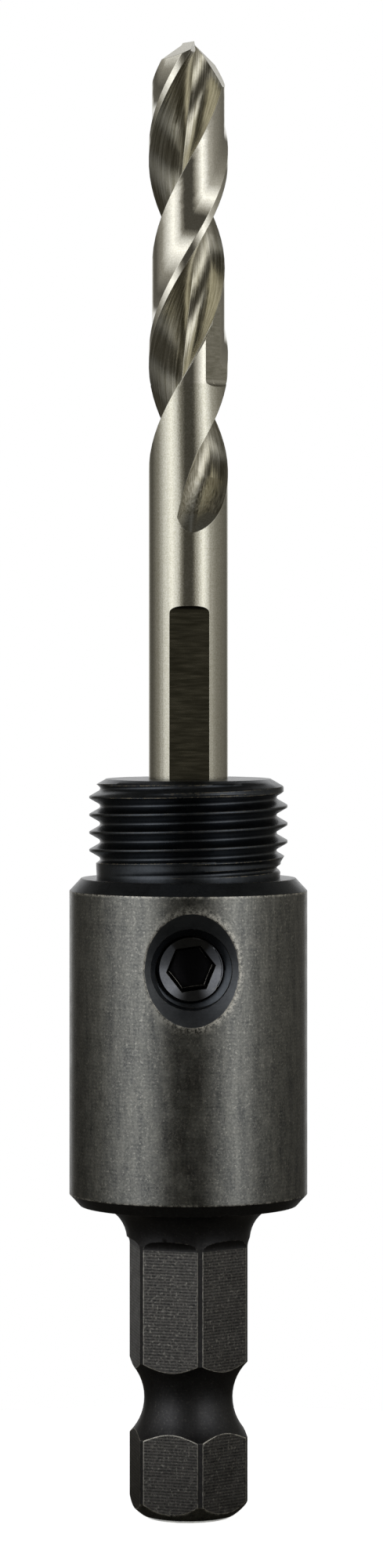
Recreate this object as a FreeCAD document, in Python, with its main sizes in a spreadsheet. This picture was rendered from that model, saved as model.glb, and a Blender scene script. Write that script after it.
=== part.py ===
import FreeCAD
import Part
import Sketcher
import math
import os

V = FreeCAD.Vector
doc = FreeCAD.newDocument("HoleSawArbor")
sheet = doc.addObject("Spreadsheet::Sheet", "Dimensions")

# Sizes in millimetres and degrees. The frame's origin is the centre of the shank's end face,
# +Z runs along the axis to the drill's tip and -Y is the side of the set screw.
sizes = {
    # Bar and hex shank, for a 7/16 in chuck and a quick-change holder.
    "shankR": "4.93",
    "hexAcross": "8.731",
    "hexTurn": "9.3",
    "hexDrop": "2.466",
    "hexRunOut": "0.794",
    "endFaceR": "3.4",
    "endHeight": "1.45",
    "endRoundR": "4.0",
    "grooveZ": "9.525",
    "grooveRootR": "3.54",
    "grooveR": "3.969",
    # Body between the neck and the shoulder.
    "bodyR": "9.525",
    "bodyLow": "24.9",
    "bodyLength": "26.1",
    "neckR": "2.8",
    "lowFaceR": "8.7",
    "lowChamfer": "0.9",
    "topFaceR": "8.6",
    "topChamfer": "1.0",
    # Threaded nose, 5/8-18, drawn at its major diameter.
    "noseR": "7.9375",
    "noseLength": "7.9375",
    "reliefLowR": "7.34",
    "reliefTopR": "7.40",
    "reliefLength": "1.3",
    "noseEndR": "6.6",
    "noseLead": "0.772",
    # Pilot drill, 1/4 in, and its blind bore.
    "drillR": "3.175",
    "boreDepth": "23.62",
    "drillLength": "82.55",
    "drillEndChamfer": "0.4",
    "boreClearance": "0.03",
    "boreEndAngle": "59",
    "boreEndGap": "0.02",
    # Flutes: the grinding wheel's section, its tilt and the helix.
    "lead": "32.7",
    "halfWeb": "0.591",
    "wheelTilt": "34.66",
    "rakeAngle": "45.1",
    "wheelNoseR": "1.649",
    "backAngle": "58.58",
    "wheelR": "14.4",
    "fluteLength": "34.0",
    "lipToContact": "66.46",
    # Lands: margin and body clearance.
    "landR": "2.92",
    "marginAngle": "10.7",
    "landAngle": "86.4",
    "contactToEdge": "45.7",
    "landLength": "27.47",
    # Split point.
    "lipTurn": "-7.5",
    "lipFall": "20",
    "lipRelief": "23",
    "gashTurn": "79",
    "gashTilt": "55",
    "gashStart": "0.344",
    "gashWeb": "0.53",
    # Flat on the drill's shank for the set screw.
    "flatDepth": "0.43",
    "flatLength": "37.43",
    "flatRunOut": "2.8",
    # Set screw, 1/4-20, and its countersunk hole.
    "screwDrop": "6.78",
    "screwR": "3.16",
    "screwLength": "4.7625",
    "screwGap": "0.05",
    "screwHoleClearance": "0.05",
    "screwFaceR": "2.5",
    "screwCupR": "1.6",
    "screwCupDepth": "0.9",
    "screwTipR": "1.8",
    "screwTipChamfer": "1.2",
    "socketAcross": "3.175",
    "socketDepth": "2.2",
    "socketConeR": "1.35",
    "socketConeDepth": "0.5",
    "socketTurn": "10.5",
    "sinkR": "4.45",
    "holeEnd": "1.5",
    # Derived positions, from the shank's end up and from the drill's tip down.
    "bodyTop": "=bodyLow + bodyLength",
    "hexTop": "=bodyLow - hexDrop",
    "screwZ": "=bodyTop - screwDrop",
    "grooveHalf": "=sqrt(grooveR^2 - (grooveR - shankR + grooveRootR)^2)",
    "grooveLow": "=grooveZ - grooveHalf",
    "grooveTop": "=grooveZ + grooveHalf",
    "neckLow": "=bodyLow - neckR",
    "neckFaceR": "=shankR + neckR",
    "lowChamferTop": "=bodyLow + lowChamfer",
    "topChamferLow": "=bodyTop - topChamfer",
    "reliefTop": "=bodyTop + reliefLength",
    "noseLow": "=reliefTop + noseR - reliefTopR",
    "noseEnd": "=bodyTop + noseLength",
    "noseLeadLow": "=noseEnd - noseLead",
    "boreR": "=drillR + boreClearance",
    "drillBottom": "=noseEnd - boreDepth",
    "drillTip": "=drillBottom + drillLength",
    "fluteEnd": "=drillTip - fluteLength",
    "fluteTurn": "=lipTurn + lipToContact - fluteLength * 360 / lead",
    "landEnd": "=drillTip - landLength",
    "flatTop": "=drillBottom + flatLength",
    "boreWallEnd": "=drillBottom - boreEndGap + (boreClearance + drillEndChamfer) / tan(boreEndAngle)",
    "boreBottom": "=boreWallEnd - boreR / tan(boreEndAngle)",
    "boreOpen": "=noseEnd + 1",
    "hexFlat": "=hexAcross / 2",
    "hexOutside": "=shankR + 1",
    "hexBelow": "1",
    "hexInnerTop": "=hexTop - hexRunOut",
    "hexRoundX": "=hexFlat + hexRunOut",
    "flatY": "=drillR - flatDepth",
    "screwTipY": "=flatY + screwGap",
    "holeR": "=screwR + screwHoleClearance",
    "sinkLow": "=bodyR - sinkR + holeR",
    "sinkOut": "=bodyR + 1",
    "sinkTopZ": "=screwZ + sinkR + 1",
    "holeTopZ": "=screwZ + holeR",
    "screwFaceLow": "=screwLength - screwR + screwFaceR",
    "socketCornerR": "=socketAcross / sqrt(3)",
    "socketCornerX": "=socketCornerR / 2",
    "socketCornerY": "=socketAcross / 2",
    "socketFloor": "=screwLength - socketDepth",
    "socketConeEnd": "=socketFloor - socketConeDepth",
}
for row, (alias, value) in enumerate(sizes.items(), start=1):
    sheet.set("A%d" % row, value)
    sheet.setAlias("A%d" % row, alias)
doc.recompute()


def size(alias):
    value = sheet.get(alias)
    return float(getattr(value, "Value", value))


def basePlane(body, role):
    return [f for f in body.Origin.OriginFeatures if f.Role == role][0]


def pin(sketch, line, point, alias, across):
    """Fixes one coordinate of a line's end by a named size; an alias of None puts it on the axis."""
    if alias is None:
        sketch.addConstraint(Sketcher.Constraint("PointOnObject", line, point, -2 if across else -1))
        return
    kind = "DistanceX" if across else "DistanceY"
    ends = (line, point, -1, 1) if alias.startswith("-") else (-1, 1, line, point)
    index = sketch.addConstraint(Sketcher.Constraint(kind, *ends, size(alias.strip("-"))))
    sketch.setExpression("Constraints[%d]" % index, "Dimensions.%s" % alias.strip("-"))


def coordinate(alias):
    if alias is None:
        return 0.0
    return -size(alias[1:]) if alias.startswith("-") else size(alias)


def outline(body, name, role, corners):
    """Draws a closed outline on a base plane. A corner is (across, up) or, where an arc leads on
    from it, (across, up, radius, turn), with turn +1 for an arc that runs counterclockwise."""
    sketch = body.newObject("Sketcher::SketchObject", name)
    sketch.AttachmentSupport = [(basePlane(body, role), "")]
    sketch.MapMode = "FlatFace"
    spots = [V(coordinate(corner[0]), coordinate(corner[1]), 0) for corner in corners]
    ends = []
    for i, corner in enumerate(corners):
        a = spots[i]
        b = spots[(i + 1) % len(spots)]
        if len(corner) == 2:
            sketch.addGeometry(Part.LineSegment(a, b), False)
            ends.append((1, 2))
            continue
        radius = size(corner[2])
        half = (b - a) * 0.5
        side = V(-half.y, half.x, 0).normalize() * corner[3]
        centre = a + half + side * math.sqrt(max(radius ** 2 - half.Length ** 2, 0.0))
        first, last = [math.atan2(p.y - centre.y, p.x - centre.x) for p in (a, b)[::corner[3]]]
        if last < first:
            last += 2 * math.pi
        circle = Part.Circle(centre, V(0, 0, 1), radius)
        sketch.addGeometry(Part.ArcOfCircle(circle, first, last), False)
        ends.append((1, 2)[::corner[3]])
    for i, corner in enumerate(corners):
        after = (i + 1) % len(corners)
        sketch.addConstraint(Sketcher.Constraint("Coincident", i, ends[i][1], after, ends[after][0]))
        pin(sketch, i, ends[i][0], corner[0], True)
        pin(sketch, i, ends[i][0], corner[1], False)
        if len(corner) == 4:
            index = sketch.addConstraint(Sketcher.Constraint("Radius", i, size(corner[2])))
            sketch.setExpression("Constraints[%d]" % index, "Dimensions.%s" % corner[2])
    doc.recompute()
    return sketch


def turned(body, name, kind, sketch, axis="V_Axis"):
    feature = body.newObject("PartDesign::%s" % kind, name)
    feature.Profile = sketch
    feature.ReferenceAxis = (sketch, [axis])
    feature.Angle = 360
    doc.recompute()
    return feature


# Arbor body: one bar, turned from the shank's end to the threaded nose.
arbor = doc.addObject("PartDesign::Body", "ArborBody")
arbor.Label = "arbor_body"
barOutline = outline(arbor, "BarOutline", "XZ_Plane", [
    (None, None),
    ("endFaceR", None, "endRoundR", 1),
    ("shankR", "endHeight"),
    ("shankR", "grooveLow", "grooveR", -1),
    ("shankR", "grooveTop"),
    ("shankR", "neckLow", "neckR", -1),
    ("neckFaceR", "bodyLow"),
    ("lowFaceR", "bodyLow"),
    ("bodyR", "lowChamferTop"),
    ("bodyR", "topChamferLow"),
    ("topFaceR", "bodyTop"),
    ("reliefLowR", "bodyTop"),
    ("reliefTopR", "reliefTop"),
    ("noseR", "noseLow"),
    ("noseR", "noseLeadLow"),
    ("noseEndR", "noseEnd"),
    (None, "noseEnd"),
])
turned(arbor, "TurnedBar", "Revolution", barOutline)

# Hex: one flat with the cutter's rounded run-out at its top, repeated six times.
flatOutline = outline(arbor, "HexFlatOutline", "XZ_Plane", [
    ("hexFlat", "-hexBelow"),
    ("hexOutside", "-hexBelow"),
    ("hexOutside", "hexTop"),
    ("hexRoundX", "hexTop", "hexRunOut", 1),
    ("hexFlat", "hexInnerTop"),
])
flatOutline.AttachmentOffset = FreeCAD.Placement(V(0, 0, 0), FreeCAD.Rotation(V(0, 1, 0), 1))
flatOutline.setExpression("AttachmentOffset.Rotation.Angle", "Dimensions.hexTurn")
hexCut = arbor.newObject("PartDesign::Pocket", "HexFlat")
hexCut.Profile = flatOutline
hexCut.Midplane = True
hexCut.setExpression("Length", "4 * Dimensions.shankR")
doc.recompute()
hexFlats = arbor.newObject("PartDesign::PolarPattern", "HexFlats")
hexFlats.Originals = [hexCut]
hexFlats.Axis = (basePlane(arbor, "Z_Axis"), [""])
hexFlats.Angle = 360
hexFlats.Occurrences = 6
arbor.Tip = hexFlats
doc.recompute()

# Blind bore for the drill, with the cone that a twist drill leaves.
boreOutline = outline(arbor, "BoreOutline", "XZ_Plane", [
    (None, "boreBottom"),
    ("boreR", "boreWallEnd"),
    ("boreR", "boreOpen"),
    (None, "boreOpen"),
])
turned(arbor, "Bore", "Groove", boreOutline)

# Cross hole for the set screw, through one wall only, with a 90 degree countersink.
holeOutline = outline(arbor, "CrossHoleOutline", "YZ_Plane", [
    ("-holeEnd", "screwZ"),
    ("-sinkOut", "screwZ"),
    ("-sinkOut", "sinkTopZ"),
    ("-sinkLow", "holeTopZ"),
    ("-holeEnd", "holeTopZ"),
])
turned(arbor, "CrossHole", "Groove", holeOutline, "Edge1")

# Set screw, drawn from its cup point up; its own +Z becomes the frame's -Y.
screw = doc.addObject("PartDesign::Body", "SetScrew")
screw.Label = "set_screw"
screwOutline = outline(screw, "ScrewOutline", "XZ_Plane", [
    (None, "screwCupDepth"),
    ("screwCupR", None),
    ("screwTipR", None),
    ("screwR", "screwTipChamfer"),
    ("screwR", "screwFaceLow"),
    ("screwFaceR", "screwLength"),
    (None, "screwLength"),
])
turned(screw, "ScrewBlank", "Revolution", screwOutline)
socketOutline = outline(screw, "SocketOutline", "XY_Plane", [
    ("socketCornerR", None),
    ("socketCornerX", "socketCornerY"),
    ("-socketCornerX", "socketCornerY"),
    ("-socketCornerR", None),
    ("-socketCornerX", "-socketCornerY"),
    ("socketCornerX", "-socketCornerY"),
])
socketOutline.AttachmentOffset = FreeCAD.Placement(V(0, 0, 1), FreeCAD.Rotation(V(0, 0, 1), 1))
socketOutline.setExpression("AttachmentOffset.Base.z", "Dimensions.screwLength")
socketOutline.setExpression("AttachmentOffset.Rotation.Angle", "Dimensions.socketTurn")
socket = screw.newObject("PartDesign::Pocket", "Socket")
socket.Profile = socketOutline
socket.setExpression("Length", "Dimensions.socketDepth")
doc.recompute()
coneOutline = outline(screw, "SocketConeOutline", "XZ_Plane", [
    (None, "socketConeEnd"),
    ("socketConeR", "socketFloor"),
    (None, "socketFloor"),
])
turned(screw, "SocketCone", "Groove", coneOutline)
screw.Placement = FreeCAD.Placement(V(0, 0, 0), FreeCAD.Rotation(V(1, 0, 0), 90))
screw.setExpression("Placement.Base.y", "-Dimensions.screwTipY")
screw.setExpression("Placement.Base.z", "Dimensions.screwZ")
doc.recompute()


def around(turn, radius, height=0.0):
    """A point at an angle from the set screw's side (-Y), counterclockwise seen from the tip."""
    angle = math.radians(turn)
    return V(radius * math.sin(angle), -radius * math.cos(angle), height)


def twice(shape):
    """A cutter and its copy half a turn further on."""
    other = shape.copy()
    other.rotate(V(0, 0, 0), V(0, 0, 1), 180)
    return [shape, other]


def swept(wire, start, turn, radius):
    """Sweeps a closed wire up the drill's helix, past its tip."""
    spine = Part.makeHelix(size("lead"), size("drillTip") + 2 - start, radius)
    spine.Placement = FreeCAD.Placement(V(0, 0, start), FreeCAD.Rotation(V(0, 0, 1), turn - 90))
    pipe = Part.BRepOffsetAPI.MakePipeShell(Part.Wire(spine.Edges))
    pipe.setFrenetMode(True)
    pipe.add(wire, False, False)
    pipe.build()
    pipe.makeSolid()
    return pipe.shape()


def fluteCutter():
    """The grinding wheel's section swept along the flute, with the wheel's own curve below it."""
    turn = size("fluteTurn")
    web = size("halfWeb")
    tilt = math.radians(size("wheelTilt"))
    outward = around(turn, 1)
    along = V(0, 0, math.sin(tilt)) - V(-outward.y, outward.x, 0) * math.cos(tilt)
    origin = around(turn, web, size("fluteEnd"))
    back = math.radians(size("backAngle"))
    nose = size("wheelNoseR")
    top = size("drillR")

    def spot(out, side):
        return origin + outward * out + along * side

    rake = spot(top, top / math.tan(math.radians(size("rakeAngle"))))
    middle = spot(nose * (1 - math.cos(back / 2)), -nose * math.sin(back / 2))
    low = nose * (1 - math.cos(back))
    bend = spot(low, -nose * math.sin(back))
    heel = spot(top, -nose * math.sin(back) - (top - low) / math.tan(back))
    section = Part.Wire([
        Part.LineSegment(rake, origin).toShape(),
        Part.Arc(origin, middle, bend).toShape(),
        Part.LineSegment(bend, heel).toShape(),
        Part.LineSegment(heel, rake).toShape(),
    ])
    wheel = Part.Face(section).revolve(spot(size("wheelR"), 0), along, 90)
    return swept(section, size("fluteEnd"), turn, web).fuse(wheel)


def landCutter():
    """The ring of metal ground off a land behind its margin."""
    start = size("landEnd")
    contact = size("fluteTurn") + (start - size("fluteEnd")) * 360 / size("lead")
    edge = contact - size("contactToEdge")
    outside = size("drillR") + 0.5
    inside = size("landR")
    margin = edge - size("marginAngle")
    flat = margin - math.degrees(math.acos(inside / size("drillR")))
    heel = edge - size("landAngle") - 4
    section = Part.Wire([
        Part.LineSegment(around(margin, outside, start), around(margin, size("drillR"), start)).toShape(),
        Part.LineSegment(around(margin, size("drillR"), start), around(flat, inside, start)).toShape(),
        Part.Arc(around(flat, inside, start), around((flat + heel) / 2, inside, start),
                 around(heel, inside, start)).toShape(),
        Part.LineSegment(around(heel, inside, start), around(heel, outside, start)).toShape(),
        Part.Arc(around(heel, outside, start), around((margin + heel) / 2, outside, start),
                 around(margin, outside, start)).toShape(),
    ])
    return swept(section, start, heel, outside)


def slab(origin, normal, across):
    """A block that fills the side of a plane that the normal points to."""
    block = Part.makeBox(20, 20, 10, V(-10, -10, 0))
    block.Placement = FreeCAD.Placement(origin, FreeCAD.Rotation(across, V(0, 0, 0), normal, "ZXY"))
    return block


def pointCutters():
    """The flank behind each lip and the gash that splits the point."""
    tip = size("drillTip")
    turn = size("lipTurn")
    fall = math.tan(math.radians(size("lipFall")))
    relief = math.tan(math.radians(size("lipRelief")))
    flank = around(turn, fall) + around(turn - 90, relief) + V(0, 0, 1)
    flankCut = slab(V(0, 0, tip), flank.normalize(), around(turn + 90, 1))
    gashTurn = turn + size("gashTurn")
    tilt = math.radians(size("gashTilt"))
    face = around(gashTurn, math.sin(tilt)) + V(0, 0, math.cos(tilt))
    gash = slab(around(gashTurn, size("gashStart"), tip), face, around(gashTurn + 90, 1))
    wall = slab(around(turn + 90, size("gashWeb"), tip), around(turn + 90, 1), V(0, 0, 1))
    return flankCut, gash.common(wall)


def flatCutter():
    """The milled flat that the set screw bears on, open at the drill's lower end."""
    depth = size("flatY")
    low = size("drillBottom") - 1
    high = size("flatTop")
    radius = size("flatRunOut")
    out = size("drillR") + 1
    rise = math.sqrt(radius ** 2 - (radius - (out - depth)) ** 2)
    start = V(0, -depth, high - rise)
    outer = V(0, -out, high)
    middle = V(0, -depth - radius * (1 - math.cos(math.asin(rise / radius) / 2)),
               high - rise + radius * math.sin(math.asin(rise / radius) / 2))
    section = Part.Wire([
        Part.LineSegment(V(0, -depth, low), start).toShape(),
        Part.Arc(start, middle, outer).toShape(),
        Part.LineSegment(outer, V(0, -out, low)).toShape(),
        Part.LineSegment(V(0, -out, low), V(0, -depth, low)).toShape(),
    ])
    cutter = Part.Face(section).extrude(V(10, 0, 0))
    cutter.translate(V(-5, 0, 0))
    return cutter


# Pilot drill: ground blank, two helical flutes, relieved lands, split point and a milled flat.
radius = size("drillR")
bottom = size("drillBottom")
chamfer = size("drillEndChamfer")
drillShape = Part.makeCone(radius - chamfer, radius, chamfer, V(0, 0, bottom))
blank = Part.makeCylinder(radius, size("drillLength") - chamfer + 0.3, V(0, 0, bottom + chamfer))
drillShape = drillShape.fuse(blank)
flank, gash = pointCutters()
for cutter in (fluteCutter(), landCutter(), flank, gash):
    for copy in twice(cutter):
        drillShape = drillShape.cut(copy)
drillShape = drillShape.cut(flatCutter())
drillShape = drillShape.removeSplitter()
drill = doc.addObject("Part::Feature", "PilotDrill")
drill.Label = "pilot_drill"
drill.Shape = drillShape.Solids[0] if len(drillShape.Solids) == 1 else drillShape
doc.recompute()

for item in doc.Objects:
    if "Invalid" in item.State or "Error" in item.State:
        raise RuntimeError("%s: %s" % (item.Name, item.State))
os.makedirs("parts", exist_ok=True)
for item in (arbor, screw, drill):
    shape = item.Shape
    if shape.isNull() or not shape.isValid() or len(shape.Solids) != 1:
        raise RuntimeError("%s isn't one valid solid" % item.Label)
    shape.exportStep("parts/%s.step" % item.Label)
    print(item.Label, round(shape.Volume, 3), shape.BoundBox)
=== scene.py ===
import bpy
import bmesh
import math
from mathutils import Matrix, Vector
from mathutils.bvhtree import BVHTree
from mathutils.geometry import barycentric_transform


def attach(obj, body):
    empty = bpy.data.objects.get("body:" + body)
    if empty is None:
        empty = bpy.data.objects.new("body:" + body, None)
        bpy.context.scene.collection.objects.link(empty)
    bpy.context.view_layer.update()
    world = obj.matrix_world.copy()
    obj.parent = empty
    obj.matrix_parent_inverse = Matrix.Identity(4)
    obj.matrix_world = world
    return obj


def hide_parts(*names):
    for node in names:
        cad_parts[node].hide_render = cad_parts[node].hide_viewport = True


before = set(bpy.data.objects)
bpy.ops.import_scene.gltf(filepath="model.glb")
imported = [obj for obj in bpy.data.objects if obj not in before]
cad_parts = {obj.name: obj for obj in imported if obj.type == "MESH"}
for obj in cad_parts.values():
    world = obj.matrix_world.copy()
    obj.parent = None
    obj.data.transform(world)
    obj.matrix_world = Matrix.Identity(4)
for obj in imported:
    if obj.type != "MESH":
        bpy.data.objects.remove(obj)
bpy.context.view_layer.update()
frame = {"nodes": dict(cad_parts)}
mm = 0.001
toMetres = Matrix.Scale(mm, 4)
print("frame loaded:", ", ".join(frame["nodes"]))


def toLinear(hexCode):
    values = [int(hexCode[i:i + 2], 16) / 255 for i in (1, 3, 5)]
    return [v / 12.92 if v <= 0.04045 else ((v + 0.055) / 1.055) ** 2.4 for v in values] + [1.0]


def add(tree, kind, links=None, **settings):
    # one node, its settings, then what goes into its sockets: another node's socket or a plain value
    node = tree.nodes.new(kind)
    for name, value in settings.items():
        setattr(node, name, value)
    for socket, value in (links or {}).items():
        if isinstance(value, bpy.types.NodeSocket):
            tree.links.new(value, node.inputs[socket])
        else:
            node.inputs[socket].default_value = value
    return node


def newMaterial(name):
    material = bpy.data.materials.new(name)
    material.use_nodes = True
    material.node_tree.nodes.clear()
    return material, material.node_tree


def inMillimetres(tree):
    place = add(tree, "ShaderNodeTexCoord").outputs["Object"]
    big = add(tree, "ShaderNodeVectorMath", {0: place, 1: (1000, 1000, 1000)}, operation="MULTIPLY")
    return big.outputs[0]


def edgeWear(tree, place, rounded, v):
    # handling rubs the skin off the sharp edges first, in dots and dashes
    straight = add(tree, "ShaderNodeNewGeometry")
    facing = add(tree, "ShaderNodeVectorMath", {0: rounded.outputs[0], 1: straight.outputs["Normal"]},
                 operation="DOT_PRODUCT")
    edge = add(tree, "ShaderNodeMapRange", {"Value": facing.outputs["Value"], "From Min": 0.9995,
                                            "From Max": 0.975})
    dots = add(tree, "ShaderNodeTexNoise", {"Vector": place, "Scale": v["dotsPerMm"], "Detail": 5.0,
                                            "Roughness": 0.8})
    broken = add(tree, "ShaderNodeMapRange", {"Value": dots.outputs[0], "From Min": v["wearFrom"],
                                              "From Max": v["wearFrom"] + v["wearSpan"]})
    worn = add(tree, "ShaderNodeMath", {0: edge.outputs[0], 1: broken.outputs[0]}, operation="MULTIPLY")
    return add(tree, "ShaderNodeMath", {0: worn.outputs[0], 1: v["wear"]}, operation="MULTIPLY").outputs[0]


def rimRub(tree, place, v):
    # hex keys rub the body bright round the countersink, most on its right
    moved = add(tree, "ShaderNodeVectorMath", {0: place, 1: (0, 0, v["rimZ"])}, operation="SUBTRACT")
    flat = add(tree, "ShaderNodeVectorMath", {0: moved.outputs[0], 1: (1, 0, 1)}, operation="MULTIPLY")
    reach = add(tree, "ShaderNodeVectorMath", {0: flat.outputs[0]}, operation="LENGTH")
    apart = add(tree, "ShaderNodeSeparateXYZ", {0: place})
    # the countersink is a 90 degree cone: reach plus y is the same all over it and grows past its rim
    past = add(tree, "ShaderNodeMath", {0: reach.outputs["Value"], 1: apart.outputs[1]}, operation="ADD")
    ring = add(tree, "ShaderNodeMapRange", {"Value": past.outputs[0], "From Min": v["rimStart"],
                                            "From Max": v["rimStart"] + v["rimMm"],
                                            "To Min": 1.0, "To Max": 0.0})
    side = add(tree, "ShaderNodeMapRange", {"Value": apart.outputs[0], "From Min": v["rimLeft"],
                                            "From Max": v["rimRight"], "To Min": 0.25, "To Max": 1.0})
    dots = add(tree, "ShaderNodeTexNoise", {"Vector": place, "Scale": 4.0, "Detail": 4.0, "Roughness": 0.8})
    spots = add(tree, "ShaderNodeMapRange", {"Value": dots.outputs[0], "From Min": 0.45, "From Max": 0.56})
    rub = add(tree, "ShaderNodeMath", {0: ring.outputs[0], 1: side.outputs[0]}, operation="MULTIPLY")
    spotted = add(tree, "ShaderNodeMath", {0: rub.outputs[0], 1: spots.outputs[0]}, operation="MULTIPLY")
    return spotted.outputs[0]


def blackOxide(name, v):
    # steel, turned or milled and then black-oxided: a thin blue-black skin that still mirrors like
    # metal, a little blotchy where the bath took unevenly, and worn to warm bare steel on the edges
    material, tree = newMaterial(name)
    place = inMillimetres(tree)
    blotch = add(tree, "ShaderNodeTexNoise", {"Vector": place, "Scale": v["blotchPerMm"], "Detail": 5.0,
                                              "Roughness": 0.6})
    grain = add(tree, "ShaderNodeTexNoise", {"Vector": place, "Scale": v["grainPerMm"], "Detail": 2.0,
                                             "Roughness": 0.6})
    apart = add(tree, "ShaderNodeSeparateXYZ", {0: place})
    # cutter lines go round the bar or across a flat, so height alone sets them; they are drawn
    # coarser than a real feed mark, so that they show
    lineAt = add(tree, "ShaderNodeMath", {0: apart.outputs[2], 1: 2 * math.pi / v["lineMm"]},
                 operation="MULTIPLY")
    wave = add(tree, "ShaderNodeMath", {0: lineAt.outputs[0]}, operation="SINE")
    waver = add(tree, "ShaderNodeMath", {0: wave.outputs[0], 1: 0.5, 2: 0.5}, operation="MULTIPLY_ADD")
    lines = add(tree, "ShaderNodeMix", {0: v["lineBreak"], 2: waver.outputs[0], 3: grain.outputs[0]})
    cloud = add(tree, "ShaderNodeMix", {0: v["grainShare"], 2: blotch.outputs[0], 3: grain.outputs[0]})
    lined = add(tree, "ShaderNodeMix", {0: v["lineShare"], 2: cloud.outputs[0], 3: lines.outputs[0]})
    # wiped and handled along its length
    tall = add(tree, "ShaderNodeVectorMath", {0: place, 1: (1, 1, 0.12)}, operation="MULTIPLY")
    wiped = add(tree, "ShaderNodeTexNoise", {"Vector": tall.outputs[0], "Scale": 1.6, "Detail": 4.0,
                                             "Roughness": 0.6})
    mixed = add(tree, "ShaderNodeMix", {0: v["streaks"], 2: lined.outputs[0], 3: wiped.outputs[0]})
    tone = add(tree, "ShaderNodeMapRange", {"Value": mixed.outputs[0], "From Min": 0.3, "From Max": 0.7})
    skin = add(tree, "ShaderNodeMix", {0: tone.outputs[0], 6: toLinear(v["dark"]), 7: toLinear(v["pale"])},
               data_type="RGBA")
    # every real edge is broken by a tenth of a millimetre or so and catches the light
    rounded = add(tree, "ShaderNodeBevel", {"Radius": v["edgeMm"] * mm}, samples=8)
    worn = edgeWear(tree, place, rounded, v)
    if v["rim"]:
        rubbed = rimRub(tree, place, v)
        worn = add(tree, "ShaderNodeMath", {0: worn, 1: rubbed}, operation="MAXIMUM").outputs[0]
    # pin-pricks of bare steel where the skin is thin
    prick = add(tree, "ShaderNodeTexNoise", {"Vector": place, "Scale": v["prickPerMm"], "Detail": 3.0,
                                             "Roughness": 0.7})
    pricked = add(tree, "ShaderNodeMapRange", {"Value": prick.outputs[0], "From Min": 0.56, "From Max": 0.7,
                                               "To Max": v["pricks"]})
    thin = add(tree, "ShaderNodeMath", {0: worn, 1: pricked.outputs[0]}, operation="MAXIMUM")
    coat = add(tree, "ShaderNodeMix", {0: thin.outputs[0], 6: skin.outputs[2], 7: toLinear(v["bare"])},
               data_type="RGBA")
    sheen = add(tree, "ShaderNodeMapRange", {"Value": blotch.outputs[0], "From Min": 0.3, "From Max": 0.7,
                                             "To Min": v["smooth"], "To Max": v["rough"]})
    scuffed = add(tree, "ShaderNodeMix", {0: worn, 2: sheen.outputs[0], 3: v["scuffed"]})
    bump = add(tree, "ShaderNodeBump", {"Strength": v["bump"], "Distance": v["deepMm"] * mm,
                                        "Height": mixed.outputs[0], "Normal": rounded.outputs[0]})
    shader = add(tree, "ShaderNodeBsdfPrincipled", {"Metallic": 1.0, "Base Color": coat.outputs[2],
                                                    "Roughness": scuffed.outputs[0],
                                                    "Normal": bump.outputs[0]})
    add(tree, "ShaderNodeOutputMaterial", {"Surface": shader.outputs[0]})
    return material


def groundSteel(name, v):
    # high speed steel, ground: a warm grey mirror with fine lines along the wheel's path, which
    # spread each reflection across them; real lines are finer, these are coarse enough to show
    material, tree = newMaterial(name)
    place = inMillimetres(tree)
    apart = add(tree, "ShaderNodeSeparateXYZ", {0: place})
    twist = -2 * math.pi / v["lead"] if v["lead"] else 0.0
    turn = add(tree, "ShaderNodeMath", {0: apart.outputs[2], 1: twist}, operation="MULTIPLY")
    untwisted = add(tree, "ShaderNodeVectorRotate", {"Vector": place, "Angle": turn.outputs[0]},
                    rotation_type="Z_AXIS")
    drawn = add(tree, "ShaderNodeVectorMath", {0: untwisted.outputs[0], 1: v["drawn"]}, operation="MULTIPLY")
    lines = add(tree, "ShaderNodeTexNoise", {"Vector": drawn.outputs[0], "Scale": v["linesPerMm"],
                                             "Detail": 3.0})
    speckle = add(tree, "ShaderNodeTexNoise", {"Vector": place, "Scale": v["specklePerMm"], "Detail": 2.0})
    height = add(tree, "ShaderNodeMix", {0: v["lineShare"], 2: speckle.outputs[0], 3: lines.outputs[0]})
    rounded = add(tree, "ShaderNodeBevel", {"Radius": v["edgeMm"] * mm}, samples=6)
    bump = add(tree, "ShaderNodeBump", {"Strength": v["bump"], "Distance": v["deepMm"] * mm,
                                        "Height": height.outputs[0], "Normal": rounded.outputs[0]})
    sheen = add(tree, "ShaderNodeMapRange", {"Value": height.outputs[0], "From Min": 0.3, "From Max": 0.7,
                                             "To Min": v["smooth"], "To Max": v["rough"]})
    tone = add(tree, "ShaderNodeMapRange", {"Value": height.outputs[0], "From Min": 0.3, "From Max": 0.7})
    skin = add(tree, "ShaderNodeMix", {0: tone.outputs[0], 6: toLinear(v["dark"]), 7: toLinear(v["pale"])},
               data_type="RGBA")
    # direction of the lines: up the axis, leaning round it by the helix
    around = add(tree, "ShaderNodeVectorMath", {0: (0, 0, 1), 1: place}, operation="CROSS_PRODUCT")
    lean = add(tree, "ShaderNodeVectorMath", {0: around.outputs[0], "Scale": -twist}, operation="SCALE")
    along = add(tree, "ShaderNodeVectorMath", {0: lean.outputs[0], 1: (0, 0, 1)}, operation="ADD")
    grain = add(tree, "ShaderNodeVectorTransform", {0: along.outputs[0]}, convert_from="OBJECT",
                convert_to="WORLD")
    shader = add(tree, "ShaderNodeBsdfPrincipled", {"Metallic": 1.0, "Base Color": skin.outputs[2],
                                                    "Roughness": sheen.outputs[0], "Normal": bump.outputs[0],
                                                    "Anisotropic": v["spread"], "Anisotropic Rotation": 0.25,
                                                    "Tangent": grain.outputs[0]})
    add(tree, "ShaderNodeOutputMaterial", {"Surface": shader.outputs[0]})
    return material


def newObject(name, mesh):
    thing = bpy.data.objects.new(name, mesh)
    bpy.context.scene.collection.objects.link(thing)
    return thing


def plainObject(name, verts, faces):
    mesh = bpy.data.meshes.new(name)
    mesh.from_pydata(verts, [], faces)
    return newObject(name, mesh)


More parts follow.
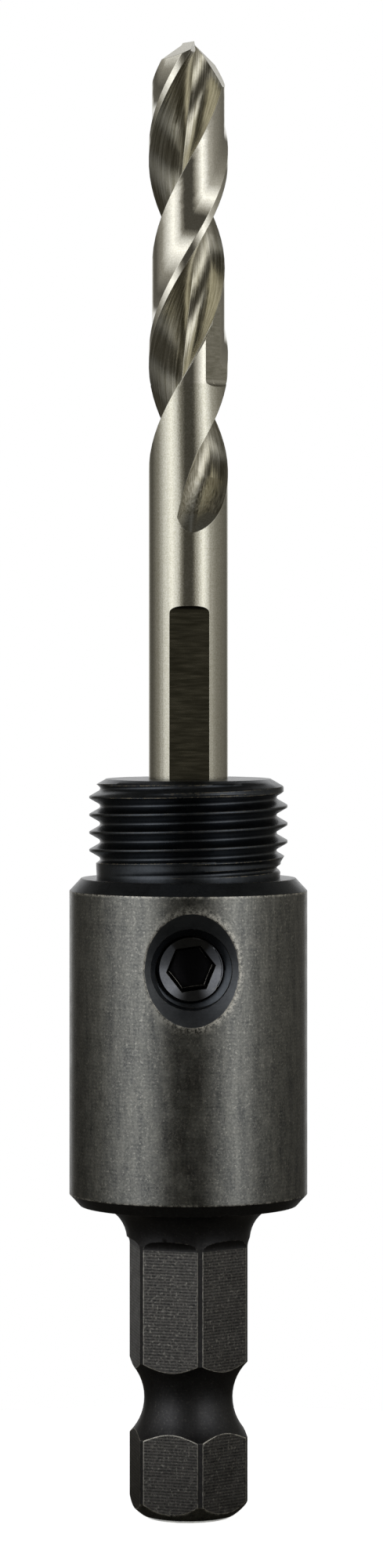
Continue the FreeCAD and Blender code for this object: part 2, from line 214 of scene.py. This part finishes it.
def smoothObject(name, verts, faces, matrix):
    # smooth but for its sharp edges, with the faces that have shrunk to nothing taken out
    thing = plainObject(name, [matrix @ Vector(v) for v in verts], faces)
    mesh = thing.data
    build = bmesh.new()
    build.from_mesh(mesh)
    bmesh.ops.dissolve_degenerate(build, dist=1e-8, edges=build.edges)
    build.to_mesh(mesh)
    build.free()
    mesh.polygons.foreach_set("use_smooth", [True] * len(mesh.polygons))
    mesh.set_sharp_from_angle(angle=math.radians(38))
    return thing


def keptPart(node, name, keep):
    # a copy of a CAD node's mesh with only the faces that keep() wants, and their own smooth normals
    source = frame["nodes"][node].data
    kept = [face for face in source.polygons if keep(face.center / mm)]
    thing = plainObject(name, [v.co for v in source.vertices], [tuple(face.vertices) for face in kept])
    mesh = thing.data
    mesh.polygons.foreach_set("use_smooth", [True] * len(kept))
    loops = [i for face in kept for i in face.loop_indices]
    mesh.normals_split_custom_set([source.corner_normals[i].vector for i in loops])
    return thing


def threadProfile(pitch, depth, root):
    # rows across one pitch of a 60 degree thread: height from the crest's middle and depth below it
    crest = pitch / 16
    near = pitch / 2 - root * math.cos(math.radians(30))
    # flat crest with its edge a little rubbed, flank, round root
    half = [(0, 0), (crest * 0.7, 0), (crest, 0.01), (crest * 1.3, 0.045)]
    for share in (0.3, 0.65, 1.0):
        at = crest + (near - crest) * share
        half.append((at, (at - crest) * math.tan(math.radians(60))))
    for angle in (60, 90):
        half.append((pitch / 2 - root * math.cos(math.radians(angle)),
                     depth - root + root * math.sin(math.radians(angle))))
    return half + [(pitch - at, deep) for at, deep in reversed(half[1:-1])]


def threadSkin(low, high, pitch, crestAt, startTurn, profile, radius, segments, inward=False):
    # grid lines follow the helix, so crest and root edges stay clean; radius() trims the ends
    verts, faces = [], []
    perTurn = len(profile)
    first = math.floor((low - crestAt) / pitch) - 2
    count = (math.ceil((high - low) / pitch) + 5) * perTurn
    heights = []
    for i in range(segments):
        angle = startTurn + 2 * math.pi * i / segments
        for j in range(count):
            turns, row = divmod(j, perTurn)
            z = crestAt + (first + turns + i / segments) * pitch + profile[row][0]
            clipped = min(max(z, low), high)
            r = radius(clipped, profile[row][1])
            heights.append(clipped)
            verts.append((r * math.cos(angle), r * math.sin(angle), clipped))
    for i in range(segments):
        # the last strip joins the first one a turn higher
        shift = perTurn if i == segments - 1 else 0
        here = i * count
        after = (i + 1) % segments * count + shift
        for j in range(count - 1 - shift):
            quad = [here + j, after + j, after + j + 1, here + j + 1]
            spread = [heights[q] for q in quad]
            if max(spread) - min(spread) > 1e-6:
                faces.append(quad[::-1] if inward else quad)
    return verts, faces


# arbor body: CAD bar, with the nose's outer wall made again as a real thread
bar = {
    "noseR": 7.9375, "reliefLowR": 7.34, "reliefTopR": 7.40, "shoulder": 51.0, "reliefTop": 52.3,
    "reliefSlope": 0.6, "noseEnd": 58.9375, "noseEndR": 6.6, "bodyR": 9.525, "chamfer": 0.772,
    "startR": 7.63, "startLow": 57.9, "pitch": 25.4 / 18, "crestAt": 55.35, "crestTurn": -1.7,
    "threadDepth": 0.866, "rootR": 0.2, "runOutZ": 51.82, "runOutTurn": 140, "runOutLift": 0.3,
    "keptR": 6.62, "segments": 240,
}


def noseRadius(z, depth):
    chamfer = bar["noseEndR"] + (bar["noseEnd"] - z) * (bar["noseR"] - bar["noseEndR"]) / bar["chamfer"]
    rise = (bar["reliefTopR"] - bar["reliefLowR"]) / (bar["reliefTop"] - bar["shoulder"])
    relief = bar["reliefLowR"] + (z - bar["shoulder"]) * rise
    if z > bar["reliefTop"]:
        relief = bar["reliefTopR"] + (z - bar["reliefTop"]) * bar["reliefSlope"]
    # the thread tool lifts out over the last part of its final turn
    past = (bar["runOutZ"] - z) / bar["pitch"] * 360
    lifted = max(0.0, past) / bar["runOutTurn"] * bar["runOutLift"]
    # the bar is turned down a little where the thread starts
    start = bar["startR"] + max(0.0, bar["startLow"] - z)
    return min(chamfer, start, relief, bar["noseR"] - depth + lifted)


def belowThread(c):
    return c.z <= bar["shoulder"] + 0.001 or math.hypot(c.x, c.y) <= bar["keptR"]


arborBar = keptPart("arbor_body", "arborBar", belowThread)
noseRows = threadProfile(bar["pitch"], bar["threadDepth"], bar["rootR"])
noseVerts, noseFaces = threadSkin(bar["shoulder"], bar["noseEnd"], bar["pitch"], bar["crestAt"],
                                  math.radians(bar["crestTurn"]), noseRows, noseRadius, bar["segments"])
noseThread = smoothObject("noseThread", noseVerts, noseFaces, toMetres)
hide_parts("arbor_body")
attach(arborBar, "arbor")
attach(noseThread, "arbor")
print("nose thread:", len(noseFaces), "faces")

# set screw: CAD socket and cup, with its outer wall made again as a thread, and the hole's own thread
screw = {
    "tipY": 2.795, "z": 44.22, "length": 4.7625, "majorR": 3.16, "faceR": 2.5, "tipR": 1.8, "tipChamfer": 1.2,
    "pitch": 1.27, "depth": 0.78, "rootR": 0.16, "crestAt": 0.3, "holeMinorR": 2.6, "holeR": 3.2,
    "holeGap": 0.04, "holeLow": 3.3, "holeHigh": 8.27, "sinkTip": 5.075, "segments": 120,
    "socketAcross": 3.175, "socketTurn": 8.0, "socketDepth": 2.2, "coneR": 1.25, "coneDepth": 0.5,
    "dish": 0.5, "leadIn": 0.13, "lipAt": 0.75, "lip": 0.09, "socketSteps": 96,
    "tipKeptR": 1.79, "tipKeptY": 4.3,
}
screwPlace = toMetres @ Matrix.Translation((0, -screw["tipY"], screw["z"]))
screwPlace = screwPlace @ Matrix.Rotation(math.radians(90), 4, "X")
screwRows = threadProfile(screw["pitch"], screw["depth"], screw["rootR"])


def screwRadius(z, depth):
    face = screw["faceR"] + (screw["length"] - z)
    tip = screw["tipR"] + z * (screw["majorR"] - screw["tipR"]) / screw["tipChamfer"]
    return min(face, tip, screw["majorR"] - depth)


def holeRadius(z, depth):
    out = z + screw["tipY"]
    sink = out - screw["sinkTip"]
    start = screw["holeR"] - (out - screw["holeLow"])
    wall = screw["majorR"] + screw["holeGap"] - depth
    return min(screw["holeR"], max(sink, start, screw["holeMinorR"], wall))


def socketSkin(v):
    # dished face, hexagon and drilled cone, as rings of points from the rim inwards
    rings = []
    foot = v["length"] - v["socketDepth"]
    lipZ = v["length"] - v["lipAt"]
    for i in range(v["socketSteps"]):
        spin = 2 * math.pi * i / v["socketSteps"]
        angle = math.radians(v["socketTurn"]) + spin
        fromCorner = spin % (math.pi / 3) - math.pi / 6
        hexR = (v["socketAcross"] / 2 + v["leadIn"]) / math.cos(fromCorner)
        wallR = hexR - v["leadIn"]
        steps = [(v["faceR"], v["length"]), (hexR, v["length"] - (v["faceR"] - hexR) * v["dish"]),
                 (wallR, lipZ), (wallR - v["lip"], lipZ - v["lip"]), (wallR - v["lip"], foot),
                 (v["coneR"], foot), (0.0, foot - v["coneDepth"])]
        rings.append([(r * math.cos(angle), r * math.sin(angle), z) for r, z in steps])
    verts = [point for ring in rings for point in ring]
    rows = len(rings[0])
    faces = []
    for i in range(len(rings)):
        j = (i + 1) % len(rings)
        faces += [(i * rows + k + 1, j * rows + k + 1, j * rows + k, i * rows + k) for k in range(rows - 1)]
    return verts, faces


def screwEnd(c):
    return math.hypot(c.x, c.z - screw["z"]) < screw["tipKeptR"] and -c.y < screw["tipKeptY"]


screwVerts, screwFaces = threadSkin(0, screw["length"], screw["pitch"], screw["crestAt"], 0, screwRows,
                                    screwRadius, screw["segments"])
socketScrew = smoothObject("socketScrew", screwVerts, screwFaces, screwPlace)
socketFaces = smoothObject("socketFace", *socketSkin(screw), screwPlace)
screwTip = keptPart("set_screw", "screwTip", screwEnd)
holeVerts, holeFaces = threadSkin(screw["holeLow"] - screw["tipY"], screw["holeHigh"] - screw["tipY"],
                                  screw["pitch"], screw["crestAt"], 0, screwRows, holeRadius,
                                  screw["segments"], True)
crossHoleThread = smoothObject("crossHoleThread", holeVerts, holeFaces, screwPlace)
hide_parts("set_screw")
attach(socketScrew, "screw")
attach(socketFaces, "screw")
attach(screwTip, "screw")
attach(crossHoleThread, "arbor")
print("set screw:", len(screwFaces), "faces")

# pilot drill: CAD form, with the flat's end and the land wheel's footprint cut sharper
drillCuts = {
    "drillR": 3.175, "lead": 32.7, "clearY": 4.5,
    "flatY": 2.745, "flatLow": 68.0, "flatTop": 72.75, "flatCornerR": 0.58, "flatCornerDrop": 0.56,
    "flatReach": 2.7,
    "footTurn": 49.4, "footDepth": 0.299, "footLow": 90.25, "footHigh": 97.2, "footR": 0.5, "footUp": 0.4,
    "footSlope": 1.5, "footReach": 3.0,
    "heelTurn": -14.6, "heelZ": 90.4, "standLow": 90.2, "standHigh": 95.1, "standTurn": 40.0,
    "standInner": 2.88, "fullLow": 90, "fullHigh": 95.2, "sameMm": 0.002,
}


def cutterObject(name, outline, reach, matrix):
    # a flat outline pulled out along its own Z
    count = len(outline)
    verts = [matrix @ Vector((x, y, z)) for z in (-reach, reach) for x, y in outline]
    faces = [tuple(range(count))[::-1], tuple(range(count, 2 * count))]
    faces += [(i, (i + 1) % count, (i + 1) % count + count, i + count) for i in range(count)]
    return plainObject(name, verts, faces)


def standingMetal(name, v, half):
    # between the wheel's flat and the flute's heel the land keeps the drill's full size
    steps = 24
    rows = []
    for i in range(steps + 1):
        z = v["standLow"] + (v["standHigh"] - v["standLow"]) * i / steps
        left = v["heelTurn"] + (z - v["heelZ"]) * 360 / v["lead"]
        turns = [math.radians(half + left + (v["standTurn"] - left) * j / steps) for j in range(steps + 1)]
        rows.append([(math.sin(a), -math.cos(a), z) for a in turns])
    count = steps + 1
    verts = [(x * r * mm, y * r * mm, z * mm)
             for r in (v["standInner"], v["drillR"]) for row in rows for x, y, z in row]
    outer = count * count
    faces = []
    for i in range(steps):
        for j in range(steps):
            a, b, c, d = i * count + j, i * count + j + 1, (i + 1) * count + j + 1, (i + 1) * count + j
            faces += [(a, d, c, b), (a + outer, b + outer, c + outer, d + outer)]
        for a, b in ((i, i + 1), (steps * count + i + 1, steps * count + i), ((i + 1) * count, i * count),
                     (i * count + steps, (i + 1) * count + steps)):
            faces.append((a, b, b + outer, a + outer))
    return plainObject(name, verts, faces)


def trimmedMesh(thing, fills, cutters):
    # the fills are joined on before the cutters take their shapes out
    for cutter in fills + cutters:
        trim = thing.modifiers.new("trim", "BOOLEAN")
        trim.object = cutter
        trim.operation = "UNION" if cutter in fills else "DIFFERENCE"
        trim.solver = "EXACT"
    bpy.context.view_layer.update()
    graph = bpy.context.evaluated_depsgraph_get()
    mesh = bpy.data.meshes.new_from_object(thing.evaluated_get(graph))
    thing.modifiers.clear()
    for cutter in fills + cutters:
        bpy.data.objects.remove(cutter)
    return mesh


def cutAway(thing, fills, cutters, v):
    source = thing.data.copy()
    mesh = trimmedMesh(thing, fills, cutters)
    thing.data = mesh
    # untouched faces take the CAD's own smooth normals back
    source.calc_loop_triangles()
    tree = BVHTree.FromPolygons([point.co for point in source.vertices],
                                [triangle.vertices for triangle in source.loop_triangles])
    axes = Vector((1, 0, 0)), Vector((0, 1, 0)), Vector((0, 0, 1))
    normals = []
    for face in mesh.polygons:
        middle = face.center
        new = tree.find_nearest(middle)[3] > v["sameMm"] * mm
        # round where the drill is full size, flat on the other new faces
        level = v["fullLow"] < middle.z / mm < v["fullHigh"]
        full = level and abs(middle.xy.length / mm - v["drillR"]) < 0.02
        for loop in face.loop_indices:
            at = mesh.vertices[mesh.loops[loop].vertex_index].co
            if full or new:
                normals.append(Vector((at.x, at.y, 0)).normalized() if full else face.normal)
                continue
            inside = at.lerp(middle, 0.02)
            triangle = source.loop_triangles[tree.find_nearest(inside)[2]]
            corners = [source.vertices[i].co for i in triangle.vertices]
            fan = [source.corner_normals[i].vector for i in triangle.loops]
            share = barycentric_transform(inside, *corners, *axes)
            normals.append((fan[0] * share.x + fan[1] * share.y + fan[2] * share.z).normalized())
    mesh.polygons.foreach_set("use_smooth", [True] * len(mesh.polygons))
    mesh.normals_split_custom_set(normals)


def flatOutline(v):
    # side view of the milled flat: along the drill's axis, then the mill's corner radius
    r = v["flatCornerR"]
    corner = v["flatTop"] - v["flatCornerDrop"]
    arc = [(v["flatY"] + r - r * math.cos(a), corner + r * math.sin(a))
           for a in [math.radians(10 * i) for i in range(1, 9)]]
    foot = [(v["clearY"], v["flatLow"]), (v["flatY"], v["flatLow"]), (v["flatY"], corner)]
    return foot + arc + [(v["clearY"], arc[-1][1])]


def footOutline(v):
    # side view of the wheel's footprint on the land: flat, with the wheel's curve at its low end
    depth = v["drillR"] - v["footDepth"]
    r = v["footR"]
    arc = [(depth + r - r * math.cos(a), v["footLow"] + v["footUp"] - r * math.sin(a))
           for a in [math.radians(12 * i) for i in range(6, 0, -1)]]
    top = [(depth, v["footLow"] + r), (depth, v["footHigh"]), (v["clearY"], v["footHigh"] + v["footSlope"])]
    return [(v["clearY"], arc[0][1])] + arc + top


drillBar = newObject("drillBar", frame["nodes"]["pilot_drill"].data.copy())
drillBar.data.materials.clear()
toSide = Matrix(((0, 0, 1, 0), (-1, 0, 0, 0), (0, 1, 0, 0), (0, 0, 0, 1)))
fills = [standingMetal("standingMetal", drillCuts, half) for half in (0, 180)]
cutters = [cutterObject("flatMill", flatOutline(drillCuts), drillCuts["flatReach"], toMetres @ toSide)]
for half in (0, 180):
    spun = Matrix.Rotation(math.radians(drillCuts["footTurn"] + half), 4, "Z")
    cutters.append(cutterObject("landWheel", footOutline(drillCuts), drillCuts["footReach"],
                                toMetres @ spun @ toSide))
cutAway(drillBar, fills, cutters, drillCuts)
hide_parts("pilot_drill")
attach(drillBar, "drill")
print("drill:", len(drillBar.data.polygons), "faces")

# turned body: dull black-brown with bright broken edges and a rubbed rim at the countersink
bodySkin = {
    "dark": "#404346", "pale": "#9a9a94", "bare": "#f2efe4", "blotchPerMm": 0.9, "grainPerMm": 6.0,
    "grainShare": 0.6, "lineMm": 0.3, "lineShare": 0.08, "lineBreak": 0.4, "streaks": 0.35,
    "bump": 0.45, "deepMm": 0.02, "smooth": 0.2, "rough": 0.32, "scuffed": 0.5,
    "edgeMm": 0.34, "wear": 0.9, "wearFrom": 0.44, "wearSpan": 0.12, "dotsPerMm": 2.2,
    "prickPerMm": 5.0, "pricks": 0.3,
    "rim": True, "rimZ": screw["z"], "rimStart": -screw["sinkTip"], "rimMm": 0.8,
    "rimLeft": -4.0, "rimRight": 3.0,
}
# cut thread: smoother and blue-black, with faint worn crests
threadLook = dict(bodySkin, dark="#3d4146", pale="#53575c", bare="#a0967f", bump=0.12, smooth=0.24,
                  rough=0.34, wear=0.65, wearFrom=0.45, edgeMm=0.1, pricks=0.0, rim=False)
# countersink: paler, as its coarser tool marks scatter the light
sinkSkin = dict(threadLook, dark="#62656a", pale="#7c8084", bare="#f2efe4", smooth=0.36, rough=0.46,
                edgeMm=0.08)
# neck and groove: form-turned, matt and dark
neckSkin = dict(bodySkin, dark="#3a3a3c", pale="#4c4c4d", bump=0.15, smooth=0.4, rough=0.5, wear=0.5,
                wearFrom=0.5, edgeMm=0.1, pricks=0.05, rim=False)
# milled hexagon: broken lines across each flat and bright corners
hexSkin = dict(bodySkin, dark="#2e2f30", pale="#757370", lineMm=0.24, lineShare=0.42, lineBreak=0.45,
               bump=0.25, smooth=0.36, rough=0.5, wear=0.95, wearFrom=0.36, edgeMm=0.16, pricks=0.3,
               streaks=0.1, rim=False)
# rolled screw: smooth, with small clear reflections
screwSkin = dict(bodySkin, dark="#4f5156", pale="#646669", bump=0.05, smooth=0.1, rough=0.15, wear=0.35,
                 wearFrom=0.35, edgeMm=0.06, pricks=0.04, rim=False)
# socket lead-in, walls, floor and cone: painted shade, nearly black, for the shade deep in the socket
socketShadeSkin = dict(screwSkin, dark="#151517", pale="#232326", smooth=0.3, rough=0.4, pricks=0.0)
# centreless ground shank: an even satin mirror
shankLook = {
    "dark": "#b8b5a4", "pale": "#d8d6ca", "lead": 0, "drawn": (0.2, 0.2, 4), "linesPerMm": 5.0,
    "specklePerMm": 8.0, "lineShare": 0.25, "bump": 0.6, "deepMm": 0.01, "smooth": 0.07, "rough": 0.16,
    "spread": 0.0, "edgeMm": 0.05,
}
# flutes: the wheel's lines run up the helix and draw the highlights out across it
fluteLook = dict(shankLook, dark="#8f8a74", pale="#e0dccd", lead=drillCuts["lead"], drawn=(1, 1, 0.04),
                 linesPerMm=7.0, lineShare=0.85, bump=1.0, smooth=0.08, rough=0.26, spread=0.6, edgeMm=0.06)
# milled flat: darker, lines across the drill
flatLook = dict(shankLook, dark="#6e6c5c", pale="#8a8674", drawn=(0.1, 0.1, 1), linesPerMm=6.0, lineShare=0.9,
                bump=0.3, smooth=0.15, rough=0.3)
# behind the margins, ground with a fine wheel: the brightest mirror on the drill
reliefLook = dict(shankLook, dark="#cbc8ba", pale="#e6e3d8", smooth=0.03, rough=0.08, bump=0.3)
# where the land wheel went in: a flat with lines across the drill
landLook = dict(shankLook, dark="#a5a292", pale="#cdcabc", drawn=(0.2, 0.2, 1), linesPerMm=5.0, lineShare=0.9,
                bump=0.3, smooth=0.22, rough=0.3)
bodySteel = blackOxide("blackOxideTurnedSteel", bodySkin)
threadSteel = blackOxide("blackOxideThreadedSteel", threadLook)
neckSteel = blackOxide("blackOxideNeckSteel", neckSkin)
sinkSteel = blackOxide("blackOxideDrilledSteel", sinkSkin)
hexSteel = blackOxide("blackOxideMilledSteel", hexSkin)
screwSteel = blackOxide("blackOxideScrewSteel", screwSkin)
# the socket's painted shade: nearly black
socketShadeSteel = blackOxide("paintedShadeSocketSteel", socketShadeSkin)
shankSteel = groundSteel("groundShankSteel", shankLook)
fluteSteel = groundSteel("wheelGroundFluteSteel", fluteLook)
flatSteel = groundSteel("milledFlatSteel", flatLook)
landSteel = groundSteel("wheelGroundLandSteel", landLook)
reliefSteel = groundSteel("fineGroundReliefSteel", reliefLook)

# where one finish ends and the next begins
zones = {
    "endTop": 2.2, "hexHalf": 4.3655, "hexTop": 22, "neckTop": 25.9, "bodyLow": 25.8, "bodyTop": 49.999,
    "sinkReach": 6, "sinkY": -7, "sinkTop": 49.8, "socketRows": 6, "polishedRows": (0, 2),
    "flatTop": 73, "flatY": -2.7, "flatHalf": 1.65, "flatReach": 3.16, "fluteLow": 80, "marginIn": 2.85,
    "footLow": 90.2, "footTop": 98.8, "reliefLow": 90.5,
}
footTurn = math.radians(drillCuts["footTurn"])
footFacing = Vector((math.sin(footTurn), -math.cos(footTurn), 0))


def barFinish(face, v):
    c = face.center / mm
    offAxis = abs(face.normal.dot(face.center)) / mm
    flat = abs(face.normal.z) < 0.001 and abs(offAxis - v["hexHalf"]) < 0.005
    outside = abs(math.hypot(c.x, c.y) - bar["bodyR"]) < 0.02 and v["bodyLow"] < c.z < v["bodyTop"]
    nearHole = math.hypot(c.x, c.z - screw["z"]) < v["sinkReach"] and c.y < v["sinkY"]
    if nearHole and c.z < v["sinkTop"] and not outside:
        return sinkSteel
    if flat and c.z < v["hexTop"]:
        return hexSteel
    if outside or c.z < v["endTop"]:
        return bodySteel
    return neckSteel if c.z < v["neckTop"] else threadSteel


def socketFinish(face, v):
    # in each step round the socket the dished end and the lip keep the screw's own smooth finish; the
    # lead-in, walls, floor and cone get the painted shade, nearly black
    return screwSteel if face.index % v["socketRows"] in v["polishedRows"] else socketShadeSteel


def drillFinish(face, v):
    c = face.center / mm
    reach = math.hypot(c.x, c.y)
    outward = (face.normal.x * c.x + face.normal.y * c.y) / max(reach, 0.001)
    inFlat = c.z < v["flatTop"] and c.y < v["flatY"] and abs(c.x) < v["flatHalf"] and reach < v["flatReach"]
    if inFlat and face.normal.y < -0.5:
        return flatSteel
    if v["footLow"] < c.z < v["footTop"] and abs(face.normal.dot(footFacing)) > 0.9998:
        return landSteel
    if c.z > v["fluteLow"] and not (reach > v["marginIn"] and outward > 0.8):
        return fluteSteel
    return reliefSteel if c.z > v["reliefLow"] else shankSteel


def finishBy(thing, pick, materials):
    for material in materials:
        thing.data.materials.append(material)
    for face in thing.data.polygons:
        face.material_index = materials.index(pick(face, zones))


finishBy(arborBar, barFinish, [bodySteel, threadSteel, hexSteel, neckSteel, sinkSteel])
finishBy(socketFaces, socketFinish, [screwSteel, socketShadeSteel])
finishBy(drillBar, drillFinish, [shankSteel, fluteSteel, flatSteel, landSteel, reliefSteel])
for piece in (noseThread, crossHoleThread):
    piece.data.materials.append(threadSteel)
for piece in (socketScrew, screwTip):
    piece.data.materials.append(screwSteel)
print("finishes on")

# studio: soft panels left and right of the camera, dim sides, a white backdrop and a pale floor
studio = {
    # share of a turn from straight behind, going round by the left: brightness
    "round": [(0.0, 0.9), (0.05, 0.85), (0.085, 0.14), (0.15, 0.11), (0.24, 0.34), (0.31, 1.0),
              (0.36, 1.5), (0.405, 0.95), (0.435, 0.3), (0.46, 0.08), (0.53, 0.08), (0.552, 0.3),
              (0.575, 0.65), (0.62, 1.5), (0.655, 1.02), (0.685, 0.54), (0.75, 0.3), (0.83, 0.2),
              (0.915, 0.14), (0.95, 0.85), (1.0, 0.9)],
    # elevation from straight down to straight up, in half turns: share of that brightness
    "up": [(0.0, 0.05), (0.2, 0.08), (0.3, 0.16), (0.37, 0.25), (0.43, 0.42), (0.464, 0.72), (0.476, 0.88),
           (0.5, 1.0), (0.67, 1.0), (0.73, 0.6), (0.79, 0.25), (0.84, 0.1), (1.0, 0.09)],
    "least": 0.07, "warm": (1.0, 0.945, 0.82), "neutralFrom": 0.9, "peak": 2.0, "tentR": 0.8, "tentZ": 0.06,
    "floor": "#f4f4f4", "floorR": 0.055, "floorLift": 0.86,
    # the card paints the floor's shade near the foot into the metal's reflections
    "card": "#6a675f", "cardR": 0.056, "cardHole": 0.0033, "cardZ": 0.0002, "cardSides": 64,
}


def stageObject(name, build, material):
    mesh = bpy.data.meshes.new(name)
    build.to_mesh(mesh)
    build.free()
    thing = newObject(name, mesh)
    mesh.materials.append(material)
    return thing


def ramp(tree, value, stops, colour):
    node = add(tree, "ShaderNodeValToRGB", {0: value})
    elements = node.color_ramp.elements
    for index, (at, level) in enumerate(stops):
        stop = elements[0] if index == 0 else elements[-1] if at == 1.0 else elements.new(at)
        stop.color = colour(level)
    return node.outputs[0]


def seenDirectly(tree):
    # by the camera, in a mirror or through something clear, but not by matt surfaces
    path = add(tree, "ShaderNodeLightPath").outputs
    seen = path["Is Camera Ray"]
    for ray in ("Is Glossy Ray", "Is Transmission Ray"):
        seen = add(tree, "ShaderNodeMath", {0: seen, 1: path[ray]}, operation="MAXIMUM").outputs[0]
    return seen


def lightTent(v):
    material, tree = newMaterial("softPanels")
    place = add(tree, "ShaderNodeTexCoord").outputs["Object"]
    aim = add(tree, "ShaderNodeVectorMath", {0: place}, operation="NORMALIZE")
    apart = add(tree, "ShaderNodeSeparateXYZ", {0: aim.outputs[0]})
    away = add(tree, "ShaderNodeMath", {0: apart.outputs[1], 1: -1}, operation="MULTIPLY")
    angle = add(tree, "ShaderNodeMath", {0: apart.outputs[0], 1: away.outputs[0]}, operation="ARCTAN2")
    share = add(tree, "ShaderNodeMapRange", {"Value": angle.outputs[0], "From Min": -math.pi,
                                             "From Max": math.pi})
    rise = add(tree, "ShaderNodeMath", {0: apart.outputs[2]}, operation="ARCSINE")
    height = add(tree, "ShaderNodeMapRange", {"Value": rise.outputs[0], "From Min": -math.pi / 2,
                                              "From Max": math.pi / 2})

    def tinted(level):
        # the room beyond the panels is warm, the panels themselves neutral
        neutral = min(1.0, level / v["neutralFrom"])
        return [(w + (1 - w) * neutral) * level / v["peak"] for w in v["warm"]] + [1]

    panels = ramp(tree, share.outputs[0], v["round"], tinted)
    upright = ramp(tree, height.outputs[0], v["up"], lambda level: (level, level, level, 1))
    lit = add(tree, "ShaderNodeVectorMath", {0: panels, 1: upright}, operation="MULTIPLY")
    least = [w * v["least"] / v["peak"] for w in v["warm"]]
    level = add(tree, "ShaderNodeVectorMath", {0: lit.outputs[0], 1: least}, operation="MAXIMUM")
    glow = add(tree, "ShaderNodeEmission", {"Color": level.outputs[0], "Strength": v["peak"]})
    add(tree, "ShaderNodeOutputMaterial", {"Surface": glow.outputs[0]})
    build = bmesh.new()
    bmesh.ops.create_uvsphere(build, u_segments=48, v_segments=24, radius=v["tentR"])
    bmesh.ops.reverse_faces(build, faces=build.faces)
    tent = stageObject("lightTent", build, material)
    tent.location.z = v["tentZ"]
    tent.visible_camera = False


def paleFloor(v):
    # matt white board: seen straight on, or in metal, it is lifted to white, and it keeps the shadow
    material, tree = newMaterial("matteWhiteBoard")
    lift = add(tree, "ShaderNodeMath", {0: seenDirectly(tree), 1: v["floorLift"]}, operation="MULTIPLY")
    board = add(tree, "ShaderNodeBsdfDiffuse", {"Color": toLinear(v["floor"])})
    glow = add(tree, "ShaderNodeEmission", {"Color": (1, 1, 1, 1), "Strength": lift.outputs[0]})
    both = add(tree, "ShaderNodeAddShader", {0: board.outputs[0], 1: glow.outputs[0]})
    add(tree, "ShaderNodeOutputMaterial", {"Surface": both.outputs[0]})
    build = bmesh.new()
    bmesh.ops.create_circle(build, cap_ends=True, segments=96, radius=v["floorR"])
    stageObject("paleFloor", build, material)


def reflectedShadeCard(v):
    # painted shade: a dark ring round the foot that only the metal sees, so that its reflections show the
    # floor near the foot dim with shade instead of lifted to white
    material, tree = newMaterial("paintedShadeCard")
    card = add(tree, "ShaderNodeBsdfDiffuse", {"Color": toLinear(v["card"])})
    add(tree, "ShaderNodeOutputMaterial", {"Surface": card.outputs[0]})
    build = bmesh.new()
    sides = v["cardSides"]
    inner, outer = [bmesh.ops.create_circle(build, segments=sides, radius=r)["verts"]
                    for r in (v["cardHole"], v["cardR"])]
    for i in range(sides):
        build.faces.new((inner[i], outer[i], outer[(i + 1) % sides], inner[(i + 1) % sides]))
    thing = stageObject("reflectedShadeCard", build, material)
    thing.location.z = v["cardZ"]
    thing.visible_camera = thing.visible_diffuse = thing.visible_shadow = False


lightTent(studio)
paleFloor(studio)
reflectedShadeCard(studio)
world = bpy.data.worlds.new("studio")
world.use_nodes = True
bpy.context.scene.world = world
skyTree = world.node_tree
skyTree.nodes.clear()
sky = add(skyTree, "ShaderNodeBackground", {"Color": (1, 1, 1, 1), "Strength": seenDirectly(skyTree)})
add(skyTree, "ShaderNodeOutputWorld", {"Surface": sky.outputs[0]})
print("studio set")

# camera: level, 400 mm from the axis, a little to the left of the set screw's side
view = {"distance": 0.4, "height": 0.072, "turn": 1.7, "lens": 114.8, "shiftX": 0.002, "shiftY": -0.1075}
camera = newObject("camera", bpy.data.cameras.new("camera"))
turn = math.radians(view["turn"])
camera.location = (-view["distance"] * math.sin(turn), -view["distance"] * math.cos(turn), view["height"])
camera.rotation_euler = (math.radians(90), 0, -turn)
camera.data.lens = view["lens"]
camera.data.sensor_width = 36
camera.data.shift_x = view["shiftX"]
camera.data.shift_y = view["shiftY"]
camera.data.clip_end = 10
bpy.context.scene.camera = camera
bpy.context.scene.view_settings.view_transform = "Standard"
